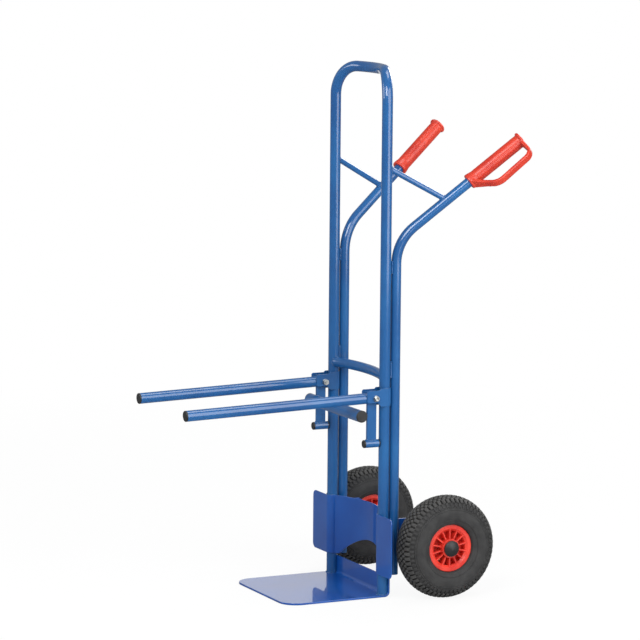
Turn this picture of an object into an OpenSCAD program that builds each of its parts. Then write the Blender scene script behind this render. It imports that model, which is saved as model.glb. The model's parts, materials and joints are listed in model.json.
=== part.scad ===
// Stacking chair trolley: a two wheeled truck of bent steel tube, with a toe plate,
// a bowed leg guard, two guarded grips and a folding fork that lifts a stack of chairs.
// X runs across the trolley with right at plus X, Y from the front to the back, Z up.
// The origin lies on the floor, midway between the two uprights.

/* [Frame] */
// Distance between the centre lines of the two uprights
upright_spacing = 290; // [270:1:320]
// Outside diameter of the upright tube
upright_d = 27; // [25:0.5:29]
// Wall of the steel tubes
tube_wall = 2; // [1.5:0.25:2.5]
// Height of the top bar above the floor
frame_h = 1326; // [1280:1:1400]
// Centre line radius of the two bends at the top
top_bend_r = 75; // [60:1:85]
// Angle by which the top bends lean to the back
top_bend_turn = 20; // [12:1:24]
// Diameter of the bowed cross tube
cross_d = 25; // [20:0.5:27]
// Height of the cross tube's centre line
cross_z = 554; // [552:1:600]
// Distance by which the cross tube bows to the back
cross_bow = 24; // [18:1:36]

/* [Toe plate] */
// Width of the toe plate
toe_w = 320; // [310:1:345]
// Distance from the uprights' centre lines to the plate's front edge
toe_reach = 272; // [230:1:300]
// Thickness of the plate
toe_t = 5; // [4:0.5:6]
// Height of the upturned rear flange
toe_flange_h = 50; // [44:1:54]
// Inner radius of the bend between plate and flange
toe_bend_r = 8; // [6:1:10]
// Radius of the plate's front corners
toe_corner_r = 46; // [20:1:60]

/* [Leg guard] */
// Full width of the guard over both wings
guard_w = 448; // [420:1:460]
// Height of the guard's lower edge
guard_z = 58; // [56:1:70]
// Height of the guard sheet
guard_h = 151; // [130:1:156]
// Thickness of the guard sheet
guard_t = 3; // [2:0.5:4]
// Distance by which the middle of the guard bows to the back
guard_bow = 38; // [26:1:46]
// Half width of the arch in the lower edge
guard_arch_half = 118; // [100:1:122]
// Rise of the arch in the lower edge
guard_arch_rise = 52; // [35:1:70]
// Radius of the wings' outer corners
guard_corner_r = 14; // [6:1:20]

/* [Handles] */
// Outside diameter of the handle tubes
handle_d = 25; // [22:0.5:26]
// Distance from the upright's centre line back to the handle tube
handle_back = 29; // [28.5:0.25:33]
// Height of the handle tubes' lower ends
handle_foot_z = 54; // [52:1:80]
// Height at which the handle tubes start to bend to the back
handle_turn_z = 838; // [800:1:860]
// Centre line radius of the handle bends
handle_bend_r = 115; // [90:1:140]
// Angle of the grips above the horizontal
handle_lift = 38.4; // [32:0.1:44]
// Angle by which the handles spread outwards
handle_splay = 14.4; // [8:0.1:18]
// Length of the straight part of the handle that leads to the grip
handle_lead = 177; // [165:1:200]
// Diameter of the braces between uprights and handles
brace_d = 14; // [12:0.5:16]
// Height of the brace on the upright's centre line
brace_z = 1078; // [1060:1:1090]
// Distance of the brace from the handle bend, along the handle
brace_reach = 106; // [90:1:120]

/* [Grips] */
// Length of the grip
grip_l = 169; // [155:1:185]
// Outside diameter of the grip sleeve
grip_d = 33.5; // [31:0.5:35]
// Diameter of the flange at the grip's outer end
grip_end_d = 42; // [38:1:46]
// Diameter of the flare at the grip's inner end
grip_root_d = 38.5; // [36:0.5:42]
// Distance from the grip's axis to the middle of the knuckle guard
knuckle_out = 67; // [62:1:76]
// Distance by which the knuckle guard draws in towards the grip's end
knuckle_draw = 7; // [0:0.5:10]
// Thickness of the knuckle guard
knuckle_t = 7; // [5:0.5:8]
// Width of the knuckle guard
knuckle_w = 18; // [14:1:20]
// Width of the knuckle guard where it joins the grip
knuckle_root_w = 30; // [24:1:32]
// Angle of the knuckle guard below the outward direction
knuckle_roll = 33; // [20:1:45]

/* [Wheels] */
// Distance between an axle bracket and the tyre beside it
wheel_gap = 26.5; // [22:0.5:40]
// Outside diameter of the tyre
tyre_d = 260; // [250:1:270]
// Width of the tyre
tyre_w = 85; // [80:1:90]
// Depth of the tyre's tread
tread_depth = 4; // [2:0.5:5]
// Number of tread blocks round the tyre
tread_count = 40; // [30:2:48]
// Outside diameter of the rim's flanges
rim_d = 120; // [116:1:126]
// Width of the rim over its flanges
rim_w = 58; // [54:1:62]
// Number of ribs in each face of the rim
rib_count = 14; // [10:2:16]
// Outside diameter of the rim's hub
hub_d = 47; // [44:1:52]
// Length of the hub
hub_l = 66; // [62:1:72]
// Diameter of the axle
axle_d = 20; // [16:0.5:22]
// Distance of the axle behind the uprights
axle_back = 137; // [130:1:150]
// Thickness of the axle brackets
bracket_t = 6; // [5:0.5:8]

/* [Fork] */
// Length of a fork arm from its pivot to its tip
arm_l = 510; // [420:1:540]
// Diameter of the fork arms
arm_d = 27; // [25:0.5:28]
// Angle by which the fork arms fall towards their tips
arm_fall = 1.5; // [0:0.1:3]
// Height of the fork's pivots
pivot_z = 505; // [470:1:506]
// Distance of the pivots in front of the uprights' centre lines
pivot_front = 31; // [30.5:0.25:36]
// Diameter of the fork's cross tube
fork_cross_d = 30; // [26:0.5:32]
// Distance of the fork's cross tube below the pivots
fork_cross_drop = 45; // [40:1:60]
// Distance of the fork's feet below the pivots
foot_drop = 115; // [100:1:130]
// Diameter of the fork's feet
foot_d = 20; // [18:0.5:24]
// Height of the collars that carry the fork
collar_h = 45; // [40:1:48]
// Thickness of the collar strap
collar_t = 2.4; // [2:0.1:2.5]
// Diameter of the pivot bolts
bolt_d = 8; // [6:0.5:10]

/* [Hidden] */
$fn = 64;

// Gap left at welds and at pieces that are fixed to each other
weld_gap = 0.2;
// Gap between pieces that slide past each other
slide_gap = 0.3;
// Radial gap of a running fit
run_gap = 0.08;
// Overrun of cuts
over = 2;
// Thickening of a tube's wall in its bends
bend_swell = 0.05;
// Length by which straight runs reach into the bends
bend_lap = 1;

// Places that several pieces share
half_span = upright_spacing / 2;
top_z = frame_h - upright_d / 2;
upright_r = upright_d / 2;
flange_y = upright_r - toe_t;
wheel_x = half_span + bracket_t / 2 + wheel_gap + tyre_w / 2;
axle_z = tyre_d / 2;

// Top bends and top bar
top_bend_place = [
    half_span - top_bend_r * cos(top_bend_turn),
    top_bend_r * sin(top_bend_turn),
    top_z - top_bend_r
];
top_arc_r = (half_span - top_bend_r * cos(top_bend_turn)) / sin(top_bend_turn);
top_arc_y = top_bend_r * sin(top_bend_turn) - top_arc_r * cos(top_bend_turn);

// Cross tube
cross_arc_r = (half_span * half_span + cross_bow * cross_bow) / (2 * cross_bow);
cross_arc_turn = asin(half_span / cross_arc_r);
cross_end_share = 0.25;

// Leg guard
wrap_r = upright_r + weld_gap;
wrap_out_r = wrap_r + guard_t;
bow_half = half_span - wrap_out_r;
bow_r = (bow_half * bow_half + guard_bow * guard_bow) / (2 * guard_bow);
arch_r = (guard_arch_half * guard_arch_half + guard_arch_rise * guard_arch_rise) / (2 * guard_arch_rise);

// Spacers between upright and handle tube: lower ends and heights
spacer_w = 10;
spacer_places = [[104, 40], [554, 40], [815, 30]];

// Handles
handle_turn = 90 - handle_lift;
handle_l = handle_lead + grip_l;
handle_run = handle_bend_r * (1 - cos(handle_turn));
handle_bend_place = [
    half_span + handle_bend_r * sin(handle_splay),
    handle_back + handle_bend_r * cos(handle_splay),
    handle_turn_z
];
handle_end = [
    half_span + handle_run * sin(handle_splay),
    handle_back + handle_run * cos(handle_splay),
    handle_turn_z + handle_bend_r * sin(handle_turn)
];
handle_dir = [
    sin(handle_splay) * cos(handle_lift),
    cos(handle_splay) * cos(handle_lift),
    sin(handle_lift)
];
brace_from = [half_span, 0, brace_z];
brace_vec = handle_end + brace_reach * handle_dir - brace_from;
brace_l = norm(brace_vec);
brace_lean = acos(brace_vec[2] / brace_l);
brace_face = atan2(brace_vec[1], brace_vec[0]);

// Grips
grip_end_t = 6;
grip_root_t = 4;
grip_flare_l = 20;
grip_bore_d = handle_d + 2 * weld_gap;
knuckle_bite = 0.8;
knuckle_from = grip_bore_d / 2 + knuckle_bite;
knuckle_root = 6;
knuckle_ramp = 50;
knuckle_ramp_r = 34;
knuckle_top_r = 22;
knuckle_taper_out = 44;
knuckle_set = 2;
corner_steps = 16;

// Tyre section
tyre_wall = 7;
section_r = tyre_w / 2;
carcass_place = tyre_d / 2 - section_r - tread_depth / 2;
bead_r = 48.3;
bead_w = 47;
bead_wall = 8;
air_in_r = rim_d / 2 + tyre_wall;
crown_r = 48;
crown_w = 66;
groove_w = 4;
groove_place = 11;
lug_w = 8;
lug_reach = 30;
lug_lean = 12;
lug_tilt = 30;
lug_cut = 16;
sipe_w = 3;
sipe_lean = 20;
ridge_r = 1.1;
ridge_angles = [62, 69, 108];

// Rim section
flange_t = 5;
flange_in_r = 46.5;
barrel_in_r = 44;
barrel_r = bead_r - weld_gap;
mouth_r = 49.5;
web_place = 3;
web_t = 4;
rib_t = 3.2;
rib_set = 2;
rib_end_r = barrel_r - weld_gap;
screw_d = 5;
screw_ring_r = 37;
screw_count = rib_count / 2;
screw_turn_share = 0.75;
screw_head_place = web_place + web_t + weld_gap;
screw_bite = 2.5;
screw_head_d = 9;
screw_head_t = 3;
valve_d = 8;
valve_place = 11.3;
valve_l = 16;
valve_tip_d = 5;
valve_tip_l = 8;
valve_angle = -360 / rib_count * 1.5;
bearing_d = 32;
bearing_lip_d = 36;
bearing_lip_t = 2;

// Axle
bracket_low = 96;
bracket_top = 194;
bracket_flat = 34;
bracket_boss_r = 24;
spacer_d = 28;
washer_t = 2;
cap_d = 40;
cap_h = 10;
cap_lip = 3;
axle_stub = 4;
hub_face_x = wheel_x + hub_l / 2;
cap_place = hub_face_x + slide_gap + washer_t + weld_gap;
axle_end_x = cap_place + axle_stub + cap_lip;

// Fork
lug_gap_half = upright_r + slide_gap;
lug_face = lug_gap_half + collar_t;
lug_front = 24;
lug_high = 20;
lug_low = 11;
lug_neck = 3;
lug_corner_r = 5;
collar_rise = 1.5;
arm_back = 8;
leg_t = 8;
leg_depth = 25;
leg_place = 5;
leg_back = pivot_front + leg_place - leg_depth / 2;
leg_fore = pivot_front + leg_place + leg_depth / 2;
fork_cross_front = leg_fore + weld_gap + fork_cross_d / 2;
fork_cross_l = 294;
foot_front = 54;
foot_wall = 2;
plug_t = 4;
plug_stem = 14;
foot_plug_t = 3.9;
foot_back = upright_r + slide_gap + foot_plug_t;
bush_wall = 3;
bush_l = 2 * lug_gap_half - 2 * slide_gap;
washer_d = 15;
pivot_washer_t = 1.6;
bolt_head_d = 13;
bolt_head_t = 6;
bolt_edge = 1;
bolt_socket_w = 6;
bolt_socket_t = 3.5;
nut_w = 13;
nut_t = 6.5;
hex_sides = 6;
// Size over the corners of a hexagon, against its size over the flats
hex_share = 1 / cos(180 / hex_sides);

frame_blue = [0.11, 0.36, 0.66];
grip_red = [0.86, 0.16, 0.12];
rubber_black = [0.13, 0.13, 0.13];
plug_black = [0.08, 0.08, 0.08];
zinc = [0.75, 0.76, 0.77];
brass = [0.72, 0.58, 0.28];

// Draws its children on the right for side 1 and mirrored for side -1
module sided(side) {
    mirror([side < 0 ? 1 : 0, 0, 0]) children();
}

// Draws its children on the right and mirrored on the left
module both_sides() {
    for (side = [-1, 1]) sided(side) children();
}

// Lays children that stand on Z along X
module along_x() {
    rotate([0, 90, 0]) children();
}

// Lays children that stand on Z along Y, towards the back
module along_y() {
    rotate([-90, 0, 0]) children();
}

// Stands a flat outline of Y and Z upright and gives it a width across X
module across(width) {
    translate([-width / 2, 0, 0])
        rotate([90, 0, 90]) linear_extrude(width) children();
}

// Rectangle with four round corners, its lower left corner at the origin
module round_rect(w, h, r) {
    translate([r, 0]) square([w - 2 * r, h]);
    translate([0, r]) square([w, h - 2 * r]);
    for (x = [r, w - r], y = [r, h - r]) translate([x, y]) circle(r);
}

// Ring between two radii
module ring(r_out, r_in) {
    difference() {
        circle(r_out);
        circle(r_in);
    }
}

// Cut across a tube of outside diameter d, whose wall is thicker by the swell on both faces
module tube_cut(d, swell) {
    ring(d / 2 + swell, d / 2 - tube_wall - swell);
}

// One half of the upright frame: a straight leg and the bend at its top
module frame_half() {
    translate([half_span, 0, 0])
        linear_extrude(top_z - top_bend_r + bend_lap) tube_cut(upright_d, 0);
    translate(top_bend_place) rotate([0, 0, -top_bend_turn]) rotate([90, 0, 0])
        rotate_extrude(angle = 90) translate([top_bend_r, 0]) tube_cut(upright_d, bend_swell);
}

// The bowed top bar between the two bends
module top_bar() {
    half_turn = top_bend_turn + asin(bend_lap / top_arc_r);
    translate([0, top_arc_y, top_z]) rotate([0, 0, 90 - half_turn])
        rotate_extrude(angle = 2 * half_turn) translate([top_arc_r, 0]) tube_cut(upright_d, 0);
}

// Room above the toe plate and in front of its flange, as an outline of Y and Z
module toe_room() {
    low = toe_t + weld_gap;
    back = flange_y - weld_gap;
    high = toe_flange_h + weld_gap + over;
    translate([-upright_d, low + toe_bend_r]) square([upright_d + back, high - low - toe_bend_r]);
    translate([-upright_d, low]) square([upright_d + back - toe_bend_r, high - low]);
    translate([back - toe_bend_r, low + toe_bend_r]) circle(toe_bend_r);
}

// What the uprights lose at their feet, so that they stand on the plate and meet the flange
module upright_foot_cut() {
    across(toe_w + upright_spacing) difference() {
        translate([-upright_d, -over]) square([2 * upright_d, toe_flange_h + weld_gap + over]);
        toe_room();
    }
}

module upright_frame() {
    color(frame_blue) difference() {
        union() {
            both_sides() frame_half();
            top_bar();
        }
        upright_foot_cut();
    }
}

// Side profile of the toe plate: flat plate, bend and flange
module toe_profile() {
    bend_out = toe_bend_r + toe_t;
    translate([-toe_reach, 0]) square([toe_reach + flange_y - toe_bend_r, toe_t]);
    translate([flange_y, bend_out]) square([toe_t, toe_flange_h - bend_out]);
    translate([flange_y - toe_bend_r, bend_out]) intersection() {
        ring(bend_out, toe_bend_r);
        translate([0, -bend_out]) square(bend_out);
    }
}

module toe_plate() {
    color(frame_blue) intersection() {
        across(toe_w) toe_profile();
        linear_extrude(toe_flange_h) translate([-toe_w / 2, -toe_reach]) {
            round_rect(toe_w, toe_reach, toe_corner_r);
            translate([0, toe_reach / 2]) square([toe_w, toe_reach / 2 + upright_d]);
        }
    }
}

// Plan of the guard: wings, the wraps round the uprights and the bow between them
module guard_plan() {
    for (side = [-1, 1]) mirror([side < 0 ? 1 : 0, 0]) {
        translate([half_span, -wrap_out_r]) square([guard_w / 2 - half_span, guard_t]);
        translate([half_span, 0]) intersection() {
            ring(wrap_out_r, wrap_r);
            translate([-wrap_out_r, -wrap_out_r]) square(wrap_out_r);
        }
    }
    difference() {
        intersection() {
            translate([0, guard_bow - bow_r]) ring(bow_r + guard_t, bow_r);
            translate([-half_span, 0]) square([upright_spacing, guard_bow + guard_t + over]);
        }
        for (side = [-1, 1]) translate([side * half_span, 0]) circle(wrap_r);
    }
}

module leg_guard() {
    color(frame_blue) difference() {
        intersection() {
            translate([0, 0, guard_z]) linear_extrude(guard_h) guard_plan();
            translate([-guard_w / 2, guard_bow + upright_d, guard_z]) rotate([90, 0, 0])
                linear_extrude(guard_bow + 3 * upright_d) round_rect(guard_w, guard_h, guard_corner_r);
        }
        translate([0, -upright_d, guard_z + guard_arch_rise - arch_r])
            along_y() cylinder(r = arch_r, h = guard_bow + 3 * upright_d, $fn = 128);
    }
}

module cross_tube() {
    reach = half_span - upright_d * cross_end_share;
    color(frame_blue) difference() {
        intersection() {
            translate([0, cross_bow - cross_arc_r, cross_z]) rotate([0, 0, 90 - cross_arc_turn])
                rotate_extrude(angle = 2 * cross_arc_turn) translate([cross_arc_r, 0])
                    ring(cross_d / 2, cross_d / 2 - tube_wall);
            translate([-reach, -cross_d, cross_z - cross_d])
                cube([2 * reach, 2 * cross_d + cross_bow, 2 * cross_d]);
        }
        both_sides() translate([half_span, 0, cross_z - cross_d])
            cylinder(r = upright_r + weld_gap, h = 2 * cross_d);
    }
}

module tube_spacers() {
    color(frame_blue) both_sides() for (place = spacer_places) difference() {
        translate([half_span - spacer_w / 2, 0, place[0]])
            cube([spacer_w, handle_back, place[1]]);
        translate([half_span, 0, place[0] - over])
            cylinder(r = upright_r + weld_gap, h = place[1] + 2 * over);
        translate([half_span, handle_back, place[0] - over])
            cylinder(d = handle_d + 2 * weld_gap, h = place[1] + 2 * over);
    }
}

// Sets its children on the straight end of the right handle, with Z along the handle
module on_handle() {
    translate(handle_end) rotate([0, 0, -handle_splay])
        rotate([handle_lift - 90, 0, 0]) children();
}

module handle_tube(side) {
    color(frame_blue) sided(side) {
        translate([half_span, handle_back, handle_foot_z])
            linear_extrude(handle_turn_z - handle_foot_z + bend_lap) tube_cut(handle_d, 0);
        translate(handle_bend_place) rotate([0, 0, -90 - handle_splay]) rotate([90, 0, 0])
            rotate_extrude(angle = handle_turn) translate([handle_bend_r, 0])
                tube_cut(handle_d, bend_swell);
        on_handle() translate([0, 0, -bend_lap])
            linear_extrude(handle_l - grip_end_t + bend_lap) tube_cut(handle_d, 0);
    }
}

module handle_brace(side) {
    color(frame_blue) sided(side) difference() {
        translate(brace_from) rotate([0, brace_lean, brace_face]) cylinder(d = brace_d, h = brace_l);
        translate([half_span, 0, brace_z - upright_spacing])
            cylinder(r = upright_r + weld_gap, h = 2 * upright_spacing);
        on_handle() cylinder(d = handle_d + 2 * weld_gap, h = handle_l);
    }
}

// Points of a round corner at b between the runs a b and b c, moved to the right by a distance
function round_corner(a, b, c, radius, away) =
    let (u = (b - a) / norm(b - a), v = (c - b) / norm(c - b))
    let (bend = atan2(u[0] * v[1] - u[1] * v[0], u * v))
    let (centre = b - u * radius * tan(bend / 2) + radius * [-u[1], u[0]])
    [for (k = [0 : corner_steps]) let (at = atan2(u[1], u[0]) - 90 + bend * k / corner_steps)
        centre + (radius + away) * [cos(at), sin(at)]];

// One side of the knuckle guard's bar, out from the grip's axis and along it
function knuckle_side(away) =
    let (top = grip_l - knuckle_t / 2 - knuckle_set)
    let (a = [knuckle_from, knuckle_root], b = [knuckle_out, knuckle_ramp])
    let (c = [knuckle_out - knuckle_draw, top], d = [knuckle_from, top])
    let (u = (b - a) / norm(b - a))
    concat([a + away * [u[1], -u[0]]], round_corner(a, b, c, knuckle_ramp_r, away),
           round_corner(b, c, d, knuckle_top_r, away), [d + away * [0, 1]]);

function reversed(list) = [for (k = [len(list) - 1 : -1 : 0]) list[k]];

// The knuckle guard seen along the grip: it widens towards the sleeve
module knuckle_plan() {
    far = knuckle_out + knuckle_t;
    polygon([
        [0, -knuckle_root_w / 2], [knuckle_taper_out, -knuckle_w / 2], [far, -knuckle_w / 2],
        [far, knuckle_w / 2], [knuckle_taper_out, knuckle_w / 2], [0, knuckle_root_w / 2]
    ]);
}

module knuckle_guard() {
    rotate(knuckle_roll) intersection() {
        rotate([90, 0, 0]) translate([0, 0, -knuckle_root_w / 2]) linear_extrude(knuckle_root_w)
            polygon(concat(knuckle_side(knuckle_t / 2), reversed(knuckle_side(-knuckle_t / 2))));
        translate([0, 0, -over]) linear_extrude(grip_l + 2 * over) knuckle_plan();
    }
}

// Half section of the grip's sleeve, flared at its root
module sleeve_section() {
    polygon([
        [0, 0], [grip_root_d / 2, 0], [grip_root_d / 2, grip_root_t], [grip_d / 2, grip_flare_l],
        [grip_d / 2, grip_l - grip_end_t / 2], [0, grip_l - grip_end_t / 2]
    ]);
}

// Flange at the grip's end, with a rounded rim
module grip_flange() {
    edge = grip_end_t / 2;
    rotate_extrude() {
        square([grip_end_d / 2 - edge, grip_end_t]);
        translate([grip_end_d / 2 - edge, edge]) circle(edge);
    }
}

module grip(side) {
    color(grip_red) sided(side) on_handle() translate([0, 0, handle_lead]) difference() {
        union() {
            rotate_extrude() sleeve_section();
            translate([0, 0, grip_l - grip_end_t]) grip_flange();
            knuckle_guard();
        }
        translate([0, 0, -over])
            cylinder(d = grip_bore_d, h = grip_l - grip_end_t + weld_gap + over);
    }
}

// Side outline of an axle bracket, in Y and Z
module bracket_outline() {
    front = handle_back + handle_d / 2 + weld_gap;
    difference() {
        union() {
            polygon([
                [front, bracket_low], [axle_back, axle_z - bracket_boss_r],
                [axle_back + bracket_boss_r, axle_z], [axle_back, axle_z + bracket_boss_r],
                [front + bracket_flat, bracket_top], [front, bracket_top]
            ]);
            translate([axle_back, axle_z]) circle(bracket_boss_r);
        }
        translate([axle_back, axle_z]) circle(d = axle_d + 2 * weld_gap);
    }
}

module axle_bracket(side) {
    color(frame_blue) sided(side) translate([half_span, 0, 0]) across(bracket_t) bracket_outline();
}

// Places its children on the axle at a distance from the middle, with Z pointing outwards
module on_axle(x) {
    translate([x, axle_back, axle_z]) along_x() children();
}

module axle() {
    color(zinc) on_axle(-axle_end_x) cylinder(d = axle_d, h = 2 * axle_end_x);
}

module axle_sleeves() {
    start = half_span + bracket_t / 2 + weld_gap;
    color(zinc) both_sides() on_axle(start) difference() {
        cylinder(d = spacer_d, h = wheel_x - hub_l / 2 - slide_gap - start);
        translate([0, 0, -over]) cylinder(d = axle_d + 2 * weld_gap, h = wheel_x);
    }
}

module axle_washers() {
    color(zinc) both_sides() on_axle(hub_face_x + slide_gap) difference() {
        cylinder(d = spacer_d, h = washer_t);
        translate([0, 0, -over]) cylinder(d = axle_d + 2 * weld_gap, h = washer_t + 2 * over);
    }
}

// Domed cap pushed over the end of the axle
module hub_caps() {
    dome_r = (cap_d * cap_d / 4 + (cap_h - cap_lip) * (cap_h - cap_lip)) / (2 * (cap_h - cap_lip));
    color(plug_black) both_sides() on_axle(cap_place) difference() {
        rotate_extrude() union() {
            square([cap_d / 2, cap_lip]);
            intersection() {
                translate([0, cap_h - dome_r]) circle(dome_r, $fn = 128);
                translate([0, cap_lip]) square([cap_d / 2, cap_h]);
            }
        }
        translate([0, 0, -over])
            cylinder(d = axle_d + 2 * weld_gap, h = axle_stub + cap_lip + weld_gap + over);
    }
}

// Places its children at the middle of the right wheel, with Z pointing outwards
module on_wheel(side) {
    sided(side) on_axle(wheel_x) children();
}

// Section of the room for air in the tyre, made smaller by an inset
module air_section(inset) {
    intersection() {
        translate([carcass_place, 0]) circle(section_r - tyre_wall - inset, $fn = 128);
        square_at(air_in_r + inset, -tyre_w, tyre_d, tyre_w);
    }
}

// Section of the tyre, radius to the right and width upwards
module tyre_section() {
    difference() {
        union() {
            translate([carcass_place, 0]) circle(section_r, $fn = 128);
            square_at(bead_r, -bead_w / 2, carcass_place, bead_w / 2);
            intersection() {
                translate([tyre_d / 2 - crown_r, 0]) circle(crown_r, $fn = 128);
                square_at(carcass_place, -crown_w / 2, tyre_d, crown_w / 2);
            }
            for (face = [-1, 1], turn = ridge_angles)
                translate([carcass_place + section_r * cos(turn), face * section_r * sin(turn)])
                    circle(ridge_r);
        }
        air_section(0);
        square_at(0, bead_wall - bead_w / 2, carcass_place, bead_w / 2 - bead_wall);
        square_at(0, -tyre_w, bead_r, tyre_w);
        square_at(0, bead_w / 2, rim_d / 2 + slide_gap, tyre_w);
        square_at(0, -tyre_w, rim_d / 2 + slide_gap, -bead_w / 2);
        for (place = [-groove_place, groove_place])
            square_at(tyre_d / 2 - tread_depth, place - groove_w / 2, tyre_d, place + groove_w / 2);
    }
}

module tyre(side) {
    pitch = 360 / tread_count;
    color(rubber_black) on_wheel(side) difference() {
        rotate_extrude() tyre_section();
        for (i = [0 : tread_count - 1]) rotate(pitch * i) {
            for (face = [0, 1]) mirror([0, 0, face]) rotate(pitch * face / 2)
                translate([tyre_d / 2 - tread_depth, 0, groove_place]) rotate([lug_lean, -lug_tilt, 0])
                    translate([0, -lug_w / 2, 0]) cube([lug_cut, lug_w, lug_reach]);
            translate([tyre_d / 2 - tread_depth, -sipe_w / 2, -groove_place]) rotate([sipe_lean, 0, 0])
                translate([0, 0, -over]) cube([lug_cut, sipe_w, 2 * groove_place + 2 * over]);
        }
    }
}

module inner_tube(side) {
    color(rubber_black) on_wheel(side) rotate_extrude() difference() {
        air_section(slide_gap);
        air_section(slide_gap + tube_wall);
    }
}

// Turns its children to the valve's place, with X pointing out from the axle
module at_valve() {
    rotate(valve_angle) translate([barrel_in_r, 0, valve_place]) children();
}

module valve(side) {
    root = air_in_r - barrel_in_r;
    color(brass) on_wheel(side) at_valve() rotate([0, -90, 0]) {
        translate([0, 0, -root]) cylinder(d = valve_d - 2 * weld_gap, h = root + valve_tip_l);
        translate([0, 0, valve_tip_l - over]) cylinder(d = valve_tip_d, h = valve_l - valve_tip_l);
    }
}

// Section of one rim half from the middle of the wheel outwards
module rim_section() {
    square_at(bearing_d / 2, 0, hub_d / 2, hub_l / 2);
    square_at(hub_d / 2 - rib_set, web_place, barrel_in_r + rib_set, web_place + web_t);
    difference() {
        union() {
            square_at(barrel_in_r, weld_gap / 2, barrel_r, rim_w / 2);
            square_at(flange_in_r, rim_w / 2 - flange_t, rim_d / 2 - flange_t / 2, rim_w / 2);
            translate([rim_d / 2 - flange_t / 2, rim_w / 2 - flange_t / 2]) circle(d = flange_t);
        }
        polygon([
            [barrel_in_r, rim_w / 2 - flange_t], [mouth_r, rim_w / 2], [mouth_r, rim_w / 2 + over],
            [0, rim_w / 2 + over], [0, rim_w / 2 - flange_t]
        ]);
    }
}

// Rectangle between two corners
module square_at(x0, y0, x1, y1) {
    translate([x0, y0]) square([x1 - x0, y1 - y0]);
}

// Draws its children at the rim's screw places
module at_screws() {
    for (i = [0 : screw_count - 1]) rotate(360 / screw_count * (i + screw_turn_share))
        translate([screw_ring_r, 0, 0]) children();
}

module rim_half() {
    rotate_extrude() difference() {
        rim_section();
        square_at(0, hub_l / 2 - bearing_lip_t - weld_gap, bearing_lip_d / 2 + weld_gap, hub_l / 2 + over);
    }
    for (i = [0 : rib_count - 1]) rotate(360 / rib_count * i)
        translate([hub_d / 2 - rib_set, -rib_t / 2, web_place + rib_set])
            cube([rib_end_r - hub_d / 2 + rib_set, rib_t, rim_w / 2 - web_place - 2 * rib_set]);
}

module rim_outer(side) {
    color(grip_red) on_wheel(side) difference() {
        rim_half();
        at_valve() rotate([0, -90, 0]) translate([0, 0, -valve_l])
            cylinder(d = valve_d, h = 2 * valve_l - over);
        at_screws() cylinder(d = screw_d + 2 * weld_gap, h = web_place + screw_bite + weld_gap);
    }
}

module rim_inner(side) {
    color(grip_red) on_wheel(side) mirror([0, 0, 1]) difference() {
        rim_half();
        at_screws() cylinder(d = screw_d + 2 * weld_gap, h = rim_w / 2);
    }
}

module rim_screws(side) {
    color(zinc) on_wheel(side) at_screws() {
        translate([0, 0, -screw_head_place - screw_head_t])
            cylinder(d = screw_head_d, h = screw_head_t);
        translate([0, 0, -screw_head_place - over])
            cylinder(d = screw_d, h = screw_head_place + over + web_place + screw_bite);
    }
}

module hub_bearing(side) {
    color(plug_black) on_wheel(side) difference() {
        union() {
            cylinder(d = bearing_d - 2 * weld_gap, h = hub_l - 2 * bearing_lip_t, center = true);
            for (end = [-1, 1]) translate([0, 0, end * (hub_l - bearing_lip_t) / 2])
                cylinder(d = bearing_lip_d, h = bearing_lip_t, center = true);
        }
        cylinder(d = axle_d + 2 * run_gap, h = hub_l + 2 * over, center = true);
    }
}

// What a collar loses above its lugs, in Y and Z: its band slants in to the lugs' height
module collar_cut(lug, band) {
    front = pivot_front + lug_front;
    neck = upright_r + lug_neck;
    polygon([
        [-front - over, lug], [lug - band - neck, lug],
        [over - neck, band + over], [-front - over, band + over]
    ]);
    difference() {
        square_at(-front - over, lug - lug_corner_r, lug_corner_r - front, lug + over);
        translate([lug_corner_r - front, lug - lug_corner_r]) circle(lug_corner_r);
    }
}

module collar(side) {
    lug_l = pivot_front + lug_front;
    color(frame_blue) sided(side) translate([half_span, 0, pivot_z]) difference() {
        translate([0, 0, collar_rise - collar_h / 2]) linear_extrude(collar_h) {
            difference() {
                ring(lug_face, lug_gap_half);
                translate([-upright_d, -2 * upright_d]) square([2 * upright_d, 2 * upright_d]);
            }
            for (place = [-lug_face, lug_gap_half]) translate([place, -lug_l]) square([collar_t, lug_l]);
        }
        across(3 * upright_d) collar_cut(lug_high, collar_h / 2 + collar_rise);
        across(3 * upright_d) mirror([0, 1]) collar_cut(lug_low, collar_h / 2 - collar_rise);
        translate([-upright_d, -pivot_front, 0]) along_x()
            cylinder(d = bolt_d + 2 * weld_gap, h = 2 * upright_d);
    }
}

// Places its children on the right pivot axis at a distance from the upright's middle
module on_pivot(x) {
    translate([half_span + x, -pivot_front, pivot_z]) along_x() children();
}

// Bolt with a round head that has a hexagon socket and a chamfered edge
module pivot_bolts() {
    head = lug_face + pivot_washer_t + 2 * weld_gap;
    shank = head + nut_t + over;
    color(zinc) both_sides() on_pivot(head) difference() {
        union() {
            translate([0, 0, -head - shank]) cylinder(d = bolt_d, h = head + shank);
            rotate_extrude() polygon([
                [0, 0], [bolt_head_d / 2, 0], [bolt_head_d / 2, bolt_head_t - bolt_edge],
                [bolt_head_d / 2 - bolt_edge, bolt_head_t], [0, bolt_head_t]
            ]);
        }
        translate([0, 0, bolt_head_t - bolt_socket_t])
            cylinder(d = bolt_socket_w * hex_share, h = bolt_socket_t + over, $fn = hex_sides);
    }
}

module pivot_nuts() {
    color(zinc) both_sides() on_pivot(-lug_face - pivot_washer_t - 2 * weld_gap - nut_t) difference() {
        cylinder(d = nut_w * hex_share, h = nut_t, $fn = hex_sides);
        translate([0, 0, -over]) cylinder(d = bolt_d + 2 * weld_gap, h = nut_t + 2 * over);
    }
}

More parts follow.
